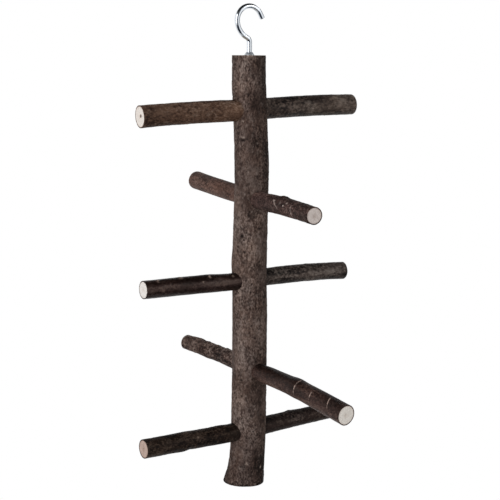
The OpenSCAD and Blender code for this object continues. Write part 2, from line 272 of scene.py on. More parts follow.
def wood_core(name, branch, mouth=()):
    """New wood piece: the core under a branch's bark, sawn at the foot and at the head, with the rings
    of a hole in the head. Each ring stores its share of the way from a sawn face's middle to its rim."""
    core = branch.rings(branch.stations, branch.core)
    foot_face = sawn_face(np.array(branch.foot), core[0], -branch.along)
    if mouth:
        head_face = zip(1 - cap_shares, sawn_face(core[-1], mouth[0], branch.along))
    else:
        head_face = [*zip(cap_shares, sawn_face(np.array(branch.head), core[-1], branch.along))][::-1]
    shared_rings = [
        (0, [branch.foot]),
        *zip(cap_shares, foot_face),
        *[(1, ring) for ring in core[:-1:core_every]],
        (1, core[-1]),
        *head_face,
        *[(0, ring) for ring in mouth or [[branch.head]]],
    ]
    piece = closed_skin(name, [np.array(ring) for share, ring in shared_rings])
    piece.data.set_sharp_from_angle(angle=sawn_edge)
    shares = [np.full(len(ring), share) for share, ring in shared_rings]
    set_values(piece, "rim_share", "FLOAT", np.concatenate(shares))
    return piece


screw_hole_stations = [trunk.length, trunk.length - screw_hole_depth]
screw_hole = trunk.rings(screw_hole_stations, np.full((2, trunk_columns), screw_hole_radius))
trunk_wood = wood_core("trunk_wood_core", trunk, [*screw_hole, [trunk.head - Z_WAY * screw_hole_depth]])
drill(trunk_wood)
plain_mesh(trunk_wood)
branch_places(trunk_wood, trunk)


class Value:
    """One socket of a node tree. Sums and products of values add Math nodes to that tree."""

    def __init__(self, wiring, socket):
        self.wiring = wiring
        self.socket = socket

    def also(self, name):
        """Another output of the same node."""
        return Value(self.wiring, self.wiring.find(self.socket.node.outputs, name))

    def math(self, operation, *others):
        return self.wiring.node("ShaderNodeMath", {"operation": operation}, dict(enumerate((self, *others))))

    def clip(self):
        return self.wiring.node("ShaderNodeClamp", {}, {"Value": self})

    def __add__(self, other):
        return self.math("ADD", other)

    __radd__ = __add__

    def __sub__(self, other):
        return self.math("SUBTRACT", other)

    def __rsub__(self, other):
        return self * -1 + other

    def __mul__(self, other):
        return self.math("MULTIPLY", other)

    __rmul__ = __mul__

    def __truediv__(self, other):
        return self.math("DIVIDE", other)

    def __rtruediv__(self, other):
        return self**-1 * other

    def __pow__(self, other):
        return self.math("POWER", other)


class Wiring:
    """Adds nodes to one shader or geometry tree."""

    def __init__(self, tree):
        self.tree = tree

    def find(self, sockets, key):
        if isinstance(key, int):
            return sockets[key]
        return next(s for s in sockets if key == s.identifier or (key == s.name and s.enabled))

    def node(self, kind, settings=None, sockets=None, out=0):
        made = self.tree.nodes.new(kind)
        for name, setting in (settings or {}).items():
            if name == "stops":
                ramp = made.color_ramp.elements
                while len(ramp) < len(setting):
                    ramp.new(0.5)
                for stop, (place, colour) in zip(ramp, setting):
                    stop.position, stop.color = place, colour
            else:
                setattr(made, name, setting)
        for key, value in (sockets or {}).items():
            socket = self.find(made.inputs, key)
            if isinstance(value, Value):
                self.tree.links.new(value.socket, socket)
            else:
                socket.default_value = value
        return Value(self, self.find(made.outputs, out)) if made.outputs else made

    def vector(self, operation, sockets, out=0):
        return self.node("ShaderNodeVectorMath", {"operation": operation}, sockets, out)

    def stretch(self, place, factors):
        return self.vector("MULTIPLY", {0: place, 1: factors})

    def parts(self, place):
        """A vector's X, Y and Z."""
        x = self.node("ShaderNodeSeparateXYZ", {}, {"Vector": place})
        return x, x.also("Y"), x.also("Z")

    def joined(self, x, y, z):
        return self.node("ShaderNodeCombineXYZ", {}, {"X": x, "Y": y, "Z": z})

    def attribute(self, name, out="Fac"):
        """What a mesh stores under a name, for a material."""
        return self.node("ShaderNodeAttribute", {"attribute_name": name}, out=out)

    def noise(self, place, size, detail=3.0, roughness=0.55, seed=0.0):
        """Cloudy pattern from 0 to 1 with lumps of about one size."""
        return self.node(
            "ShaderNodeTexNoise",
            {"noise_dimensions": "4D"},
            {"Vector": place, "W": seed, "Scale": 1 / size, "Detail": detail, "Roughness": roughness},
        )

    def cells(self, feature, place, spacing, seed):
        """Distance to the middle or the edge of the nearest of scattered cells."""
        return self.node(
            "ShaderNodeTexVoronoi",
            {"voronoi_dimensions": "4D", "feature": feature},
            {"Vector": place, "W": seed, "Scale": 1 / spacing},
            "Distance",
        )

    def dots(self, place, spacing, reach, edge, least, seed):
        """Scattered dots, 1 in the middle of each, with a soft edge. Cells below the least are empty."""
        away = self.cells("F1", place, spacing, seed)
        kept = self.parts(away.also("Color"))[0].math("GREATER_THAN", least)
        return ((reach - away) / (edge * reach)).clip() * kept

    def mix(self, share, first, second, blend="MIX"):
        """Colour between two colours."""
        return self.node(
            "ShaderNodeMix",
            {"data_type": "RGBA", "blend_type": blend},
            {"Factor_Float": share, "A_Color": first, "B_Color": second},
            "Result_Color",
        )

    def bump(self, strength, distance, height):
        return self.node("ShaderNodeBump", {}, {"Strength": strength, "Distance": distance, "Height": height})

    def surface(self, sockets):
        """Ends a material with one plain surface."""
        surface = self.node("ShaderNodeBsdfPrincipled", {}, sockets)
        self.node("ShaderNodeOutputMaterial", {}, {"Surface": surface})


def paint(red, green, blue):
    """Colour from the 0 to 255 steps of a screen, as the linear colour that a shader takes."""
    steps = [value / 255 for value in (red, green, blue)]
    return (*[s / 12.92 if s <= 0.04045 else ((s + 0.055) / 1.055) ** 2.4 for s in steps], 1.0)


def new_finish(name):
    """New material with no nodes yet."""
    finish = bpy.data.materials.new(name)
    finish.use_nodes = True
    finish.node_tree.nodes.clear()
    return finish, Wiring(finish.node_tree)


def sawn_finish(name, look, ring_width, seed):
    """Sawn end grain: growth rings round the pith, fine rays, and a darker line under the bark."""
    pale, ringed, heart = [paint(*tone) for tone in look["wood"]]
    pith, pith_size, pith_tone = look["pith"], look["pith size"], paint(84, 58, 42)
    wobble_size, wobble_reach, late_power = 5 * MM, 0.9 * MM, 2.5
    ray_size, ray_turns, fibre_size, stain_size = 0.06, 60, 0.5 * MM, 2.6 * MM
    late_share, ray_share, fibre_share, stain_share = 0.45, 0.5, 0.45, 1.6
    heart_fall, heart_share = 2.2, 0.4
    line_start, line_rise, line_share = 0.88, 8, 0.7
    finish, wood = new_finish(name)
    place = wood.attribute("branch_place", "Vector")
    rim = wood.attribute("rim_share")
    x, y = [part - middle for part, middle in zip(wood.parts(place), pith)]
    wobble = wood.noise(place, wobble_size, seed=seed)
    spread = (x * x + y * y) ** 0.5 + (wobble - 0.5) * wobble_reach
    late = (spread / ring_width).math("FRACT") ** late_power
    ray_place = wood.joined(x / spread, y / spread, spread * ray_turns)
    rays = wood.noise(ray_place, ray_size, 2.0, 0.6, seed)
    fibres = wood.noise(place, fibre_size, 2.0, 0.6, seed + 3)
    stain = wood.noise(place, stain_size, 3.0, 0.6, seed + 7)
    grain = late * late_share + (rays - 0.5) * ray_share + (fibres - 0.5) * fibre_share
    grain = grain + (stain - 0.44) * stain_share
    tone = wood.mix(grain.clip(), pale, ringed)
    tone = wood.mix((1 - rim * heart_fall).clip() * heart_share, tone, heart)
    tone = wood.mix(((rim - line_start) * line_rise).clip() * line_share, tone, heart)
    pith_dot = ((pith_size - spread) / (0.4 * pith_size)).clip()
    tone = wood.mix(pith_dot * look["pith share"], tone, pith_tone)
    saw_lines = wood.noise(wood.stretch(place, (1, 0.12, 1)), fibre_size, 2.0, 0.6, seed + 5)
    bump = wood.bump(0.35, 0.1 * MM, saw_lines + fibres * 0.6 - late * 0.3)
    roughness = 0.7 + fibres * 0.2
    wood.surface({"Base Color": tone, "Roughness": roughness, "Specular IOR Level": 0.15, "Normal": bump})
    return finish


trunk_end = {
    "wood": ((236, 222, 202), (206, 182, 154), (188, 156, 126)),
    "pith": (0.4 * MM, -0.3 * MM),
    "pith share": 0.5,
    "pith size": 0.8 * MM,
}
trunk_ring_width, trunk_wood_seed = 1.4 * MM, 1.7
set_finish(trunk_wood, sawn_finish("trunk_end_grain", trunk_end, trunk_ring_width, trunk_wood_seed))
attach(trunk_wood, "trunk")
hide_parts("trunk_wood")

# Trunk bark. The rough dead skin of the same branch, a little over a millimetre thick and grown on
# the wood: shallow ridges run up it, with short cracks between them, small warts and a few bud scars.
half_blend = 16 * MM
trunk_relief = {
    "Ridge height": 0.22 * MM,
    "Ridge size": 4.2 * MM,
    "Grain stretch": 1.7,
    "Crack depth": 0.35 * MM,
    "Crack spacing": 5 * MM,
    "Wart height": 0.22 * MM,
    "Wart spacing": 3.6 * MM,
    "Pit depth": 0.35 * MM,
    "Pit spacing": 3.2 * MM,
}


def new_tree(name, inputs):
    """New geometry tree, with the names of its inputs listed by the kind of their sockets."""
    tree = bpy.data.node_groups.new(name, "GeometryNodeTree")
    for kind, names in inputs.items():
        for socket_name in names:
            tree.interface.new_socket(socket_name, in_out="INPUT", socket_type=f"NodeSocket{kind}")
    tree.interface.new_socket("Geometry", in_out="OUTPUT", socket_type="NodeSocketGeometry")
    return tree, Wiring(tree)


def end_tree(wiring, shape, finish):
    """Ends a geometry tree with a plain shape of one material."""
    shape = wiring.node("GeometryNodeRealizeInstances", {}, {"Geometry": shape})
    shape = wiring.node("GeometryNodeSetMaterial", {}, {"Geometry": shape, "Material": finish})
    wiring.node("NodeGroupOutput", {}, {"Geometry": shape})


def stored(wiring, name):
    """What a mesh stores under a name, for a geometry tree."""
    return wiring.node("GeometryNodeInputNamedAttribute", {"data_type": "FLOAT"}, {"Name": name})


def bark_relief_tree():
    """Geometry tree that raises ridges, cracks, warts and pits on a branch's outer skin, and stores
    where they are."""
    tree, bark = new_tree(
        "bark relief",
        {
            "Geometry": ["Geometry"],
            "Vector": ["Foot", "Side", "Up", "Along"],
            "Float": ["Middle", "Front roughness", "Back roughness", *trunk_relief, "Seed"],
            "Material": ["Bark"],
        },
    )
    ridge_gain, crack_wander, crack_width = 3.2, 0.6, 0.11
    patch_least, patch_gain = 0.42, 5
    given = bark.node("NodeGroupInput")
    position = bark.node("GeometryNodeInputPosition")
    from_foot = bark.vector("SUBTRACT", {0: position, 1: given.also("Foot")})
    x, y, along = [
        bark.vector("DOT_PRODUCT", {0: from_foot, 1: given.also(way)}, "Value")
        for way in ("Side", "Up", "Along")
    ]
    place = bark.joined(x, y, along)
    grain = bark.joined(x, y, along / given.also("Grain stretch"))
    seed, crack_spacing = given.also("Seed"), given.also("Crack spacing")
    ridges = bark.noise(grain, given.also("Ridge size"), 4.0, seed=seed)
    ridges = ((ridges - 0.5) * ridge_gain).math("MAXIMUM", -1).math("MINIMUM", 1)
    drift = bark.noise(place, crack_spacing, 2.0, seed=seed).also("Color")
    wander = bark.vector("SCALE", {0: drift, "Scale": crack_spacing * crack_wander})
    crack_place = bark.vector("ADD", {0: grain, 1: wander})
    edges = bark.cells("DISTANCE_TO_EDGE", crack_place, crack_spacing, seed)
    patches = ((bark.noise(place, crack_spacing, 1.0, seed=seed) - patch_least) * patch_gain).clip()
    crack = (1 - edges / crack_width).clip() * patches
    wart = bark.dots(place, given.also("Wart spacing"), reach=0.34, edge=0.6, least=0.55, seed=seed + 4)
    pit = bark.dots(place, given.also("Pit spacing"), reach=0.38, edge=0.6, least=0.3, seed=seed + 11)
    behind = ((along - given.also("Middle")) / half_blend + 0.5).clip()
    roughness = given.also("Front roughness") * (1 - behind) + given.also("Back roughness") * behind
    relief = ridges * given.also("Ridge height") - crack * given.also("Crack depth")
    relief = relief + wart * given.also("Wart height") - pit * given.also("Pit depth")
    lift = relief * roughness * stored(bark, "skin_share") + stored(bark, "mark_height")
    offset = bark.vector("SCALE", {0: bark.node("GeometryNodeInputNormal"), "Scale": lift})
    shape = bark.node("GeometryNodeSetPosition", {}, {"Geometry": given, "Offset": offset})
    for name, kind, value in (
        ("branch_place", "FLOAT_VECTOR", place),
        ("ridge", "FLOAT", ridges),
        ("crack", "FLOAT", crack * roughness),
        ("wart", "FLOAT", wart * roughness),
        ("pit", "FLOAT", pit * roughness),
    ):
        shape = bark.node(
            "GeometryNodeStoreNamedAttribute",
            {"data_type": kind, "domain": "POINT"},
            {"Geometry": shape, "Name": name, "Value": value},
        )
    end_tree(bark, shape, given.also("Bark"))
    return tree


bark_relief = bark_relief_tree()


def give_tree(piece, tree, inputs):
    """Sets a geometry tree on a piece with its named inputs, and keeps what it makes."""
    step = piece.modifiers.new(tree.name, "NODES")
    step.node_group = tree
    for socket in tree.interface.items_tree:
        if socket.in_out == "INPUT" and socket.name in inputs:
            step[socket.identifier] = inputs[socket.name]
    plain_mesh(piece)


def raise_bark(piece, branch, roughness, sizes, seed, finish):
    """Raises the relief of its bark on a piece, rough by one share in front of the middle of its
    branch and by another behind it."""
    line = {"Foot": branch.foot, "Side": branch.side, "Up": branch.up, "Along": branch.along}
    rough = {"Middle": branch.middle, "Front roughness": roughness[0], "Back roughness": roughness[1]}
    give_tree(piece, bark_relief, {**line, **rough, **sizes, "Seed": seed, "Bark": finish})


def bark_shell(name, branch, marks, stains_and_shading):
    """New bark piece: an outer skin with its marks and its stains, which carry painted shade and painted
    highlights too, an inner face on the wood, and the two sawn edges."""
    edge_width, edge_share = 0.8 * MM, 0.25
    stations, skin = branch.stations, branch.skin
    outer, inner = branch.rings(stations, skin), branch.rings(stations, branch.core)
    inner = np.concatenate([inner[::core_every][:-1], inner[-1:]])
    piece = closed_skin(name, [*outer, *inner[::-1]], looped=True)
    piece.data.set_sharp_from_angle(angle=sawn_edge)
    share = np.zeros((len(outer) + len(inner), skin.shape[1]))
    edge = np.minimum(stations - stations[0], stations[-1] - stations) / edge_width
    share[: len(outer)] = np.clip(edge, edge_share, 1)[:, None]
    height, pale, stain = np.zeros_like(share), np.zeros_like(share), np.zeros_like(share)
    turns = 360 * np.arange(skin.shape[1]) / skin.shape[1]

    def spot(at, turn, length, spread, lean, power):
        """1 at a place on the skin, fading along the branch and round it."""
        away = (turns - turn + 180) % 360 - 180
        over = stations[:, None] - branch.middle - (at + lean * away[None, :] / 90) * MM
        return np.exp(-((over / (length * MM)) ** power)) * np.exp(-((away / spread) ** 4))[None, :]

    for at, turn, length, spread, lean, lift, paleness in marks:
        mark = spot(at, turn, length, spread, lean, 2)
        height[: len(outer)] += lift * MM * mark
        pale[: len(outer)] += paleness * mark
    # Stains shift how deep the bark's tone lies; many of them are painted shade and painted highlights.
    for at, turn, length, spread, shift in stains_and_shading:
        stain[: len(outer)] += shift * spot(at, turn, length, spread, 0, 4)
    set_values(piece, "skin_share", "FLOAT", share)
    set_values(piece, "mark_height", "FLOAT", height)
    set_values(piece, "mark_pale", "FLOAT", np.clip(pale, -2, 2))
    set_values(piece, "stain", "FLOAT", stain)
    return piece


def bark_finish(name, look, seed, blend):
    """Weathered bark: cloudy tones drawn out along the branch, dark pits and cracks, pale warts, lichen,
    scars, and stains that carry painted shade and painted highlights too. A look has two sets of tones,
    each from deep to light, for the two halves or sides that blend tells apart."""
    tones = [[paint(*tone) for tone in half_tones] for half_tones in look["tones"]]
    tone_depths, rust_tint = (0.2, 0.41, 0.58, 0.82), (1.0, 0.86, 0.76, 1.0)
    size, fine_size = look["mottle"], 0.7 * MM
    mottle_share, streak_share, speck_share, fine_share = 0.38, 0.5, 0.88, 1.4
    finish, bark = new_finish(name)
    place = bark.attribute("branch_place", "Vector")
    half = blend(*bark.parts(place))

    def shared(first, second):
        return half * (second - first) + first

    def cloudy(drawn_out, lump, detail, roughness, salt):
        return bark.noise(bark.stretch(place, (1, 1, drawn_out)), lump, detail, roughness, seed + salt)

    blotch = cloudy(drawn_out=0.5, lump=4 * size, detail=3.0, roughness=0.55, salt=0)
    mottle = cloudy(drawn_out=0.75, lump=size, detail=4.0, roughness=0.62, salt=1)
    streak = cloudy(drawn_out=0.15, lump=0.5 * size, detail=3.0, roughness=0.6, salt=2)
    speck = cloudy(drawn_out=0.8, lump=0.48 * size, detail=2.0, roughness=0.6, salt=6)
    fine = cloudy(drawn_out=0.4, lump=fine_size, detail=4.0, roughness=0.65, salt=8)
    coarse = cloudy(drawn_out=0.6, lump=5 * size, detail=2.0, roughness=0.5, salt=20)
    coarse = ((coarse - 0.38) * 4.5).clip()
    grain = (mottle - 0.5) * mottle_share + (streak - 0.5) * streak_share
    grain = grain + (speck - 0.5) * speck_share + (fine - 0.5) * fine_share
    grain = grain * shared(*look["contrast"]) * (0.5 + coarse * 0.85)
    cloud = (blotch - 0.5) * shared(*look["blotches"]) + grain
    # The stored stains carry painted shade and painted highlights along with the bark's own stains.
    depth = 0.5 + bark.attribute("stain") + cloud + bark.attribute("ridge") * 0.07
    ramps = [
        bark.node("ShaderNodeValToRGB", {"stops": list(zip(tone_depths, half_tones))}, {"Fac": depth})
        for half_tones in tones
    ]
    tone = bark.mix(half, *ramps)
    deep = bark.mix(half, tones[0][0], tones[1][0])
    light = bark.mix(half, tones[0][3], tones[1][3])
    rust = cloudy(drawn_out=0.6, lump=5 * size, detail=3.0, roughness=0.6, salt=12)
    rust = ((rust - 0.4) * 5).clip()
    tone = bark.mix(rust * look["rust"], tone, rust_tint, "MULTIPLY")
    pore_place, flake_place = [bark.stretch(place, (1, 1, drawn_out)) for drawn_out in (0.8, 0.45)]
    pores = bark.dots(pore_place, 0.8 * size, reach=0.36, edge=0.5, least=0.25, seed=seed + 5)
    flakes = bark.dots(flake_place, 1.3 * size, reach=0.36, edge=0.5, least=0.5, seed=seed + 15)
    tone = bark.mix(pores * shared(*look["pores"]) * (0.35 + coarse * 0.65), tone, deep)
    tone = bark.mix(flakes * shared(*look["flakes"]), tone, light)
    patch = cloudy(drawn_out=0.7, lump=1.6 * size, detail=4.0, roughness=0.65, salt=9)
    lichen = ((patch - 0.54) * 7 + (speck - 0.5) * 5).clip()
    tone = bark.mix(lichen * shared(*look["lichen shares"]), tone, paint(*look["lichen"]))
    tone = bark.mix((bark.attribute("crack") * 0.6).clip(), tone, deep)
    tone = bark.mix((bark.attribute("pit") * 0.9).clip(), tone, deep)
    tone = bark.mix((bark.attribute("wart") * 0.5).clip(), tone, light)
    mark = bark.attribute("mark_pale")
    tone = bark.mix((mark * ((speck - 0.36) * 5).clip()).clip(), tone, paint(*look["scar_and_highlight"]))
    tone = bark.mix((mark * -1).clip(), tone, deep)
    bump = bark.bump(0.55, 0.25 * MM, fine + speck * 0.5 + streak * 0.4 - pores)
    roughness = (shared(*look["shine"]) + (mottle - 0.5) * 0.3).clip()
    bark.surface(
        {"Base Color": tone, "Roughness": roughness, "Specular IOR Level": look["gloss"], "Normal": bump}
    )
    return finish


def trunk_weathered_shaded_side(x, y, along):
    """The trunk's side turned away from the left lamp, darker partly as weathered bark and partly as painted
    shade: 0 on the pale side to 1 on the dark side.
    """
    pale_turn, middle_share, fade = math.radians(190), 0.42, 0.55
    away = (x * -math.cos(pale_turn) + y * -math.sin(pale_turn)) / float(trunk.skin.mean())
    return (away * fade + middle_share).clip()


trunk_look = {
    # The second tones, for the side turned away from the left lamp, are darker partly as weathered bark and
    # partly as painted shade.
    "tones": (
        [(30, 22, 19), (72, 58, 53), (102, 87, 81), (146, 130, 122)],
        [(22, 16, 13), (54, 43, 38), (78, 65, 58), (114, 99, 91)],
    ),
    "contrast": (0.76, 0.76),
    "blotches": (0.8, 0.8),
    "rust": 0.55,
    "pores": (0.95, 0.9),
    "flakes": (0.3, 0.2),
    "lichen": (134, 122, 116),
    "lichen shares": (0.25, 0.15),
    "scar_and_highlight": (176, 158, 146),
    "shine": (0.82, 0.85),
    "gloss": 0.12,
    "mottle": 3.2 * MM,
}
# Each mark's place from the foot in mm, side in degrees, length in mm, spread in degrees, lean over a
# quarter turn and height in mm, and paleness
trunk_marks = [
    (285.2, 220, 0.9, 7.5, 0, 0.25, -1.4), (287.4, 220, 0.6, 7, 0, 0.15, 0.8),
    (209.8, 218, 1.3, 5.5, 0, 0.25, -1.6), (300, 218, 0.8, 4, 0, 0.1, 1.4),
    (20.3, 238, 0.8, 3.8, 0, 0.1, 2.0), (15.6, 288, 0.8, 3, 0, 0.1, 1.7),
    (120, 60, 2.2, 12, 0, 0.5, -0.7), (240, 20, 1.8, 10, 0, 0.4, -0.8), (64, 110, 1.8, 9, 0, 0.4, 0.6),
]
# Each stain's place from the foot in mm, side in degrees, length in mm, spread in degrees and paleness. Most
# are the bark's own stains; the dark line round the foot, at 0 mm, is partly dirt and partly painted shade,
# and the dark patch at 82 mm, below and right of rung 4's joint, is partly smoother brown bark and partly a
# painted shadow.
trunk_stains_and_shading = [
    (330, 282, 24, 50, -0.14), (278, 230, 22, 100, -0.05), (276, 285, 20, 40, -0.07),
    (204, 205, 24, 45, 0.14), (204, 270, 24, 30, 0.04), (148, 228, 20, 25, 0.05),
    (148, 280, 18, 30, 0.04), (110, 248, 11, 25, -0.1), (110, 215, 12, 22, 0.05),
    (82, 272, 13, 28, -0.1), (66, 212, 16, 30, 0.07), (14, 240, 15, 110, -0.12),
    (0, 240, 1.6, 300, -0.2), (16, 275, 14, 30, -0.1), (300, 60, 30, 60, 0.06),
    (170, 90, 40, 50, -0.06), (110, 120, 30, 50, 0.05), (60, 40, 25, 70, 0.06),
]
trunk_bark = bark_shell("trunk_bark_skin", trunk, trunk_marks, trunk_stains_and_shading)
trunk_roughness, trunk_seed = (1.0, 1.0), 2.0
drill(trunk_bark)
trunk_bark_finish = bark_finish("trunk_bark", trunk_look, trunk_seed, trunk_weathered_shaded_side)
raise_bark(trunk_bark, trunk, trunk_roughness, trunk_relief, trunk_seed, trunk_bark_finish)
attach(trunk_bark, "trunk")
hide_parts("trunk_bark")
for cutter in hole_cutters:
    bpy.data.objects.remove(cutter)

# Rungs. Five lengths of thinner branch, crooked as they grew, sawn square at both ends and glued into
# the trunk's holes. Each has the bark of its own tree: olive brown, grey, smooth and black, or ringed.
rung_columns = 96
rung_row_step = 0.4 * MM
rung_ring_width = 0.9 * MM
rung_relief = {
    "Ridge height": 0.22 * MM,
    "Ridge size": 4.5 * MM,
    "Grain stretch": 2.2,
    "Crack depth": 0.25 * MM,
    "Crack spacing": 4 * MM,
    "Wart height": 0.2 * MM,
    "Wart spacing": 3 * MM,
    "Pit depth": 0.25 * MM,
    "Pit spacing": 3.6 * MM,
}
rung_wood_seed, rung_relief_seed, rung_bark_seed = 10.0, 20.0, 30.0
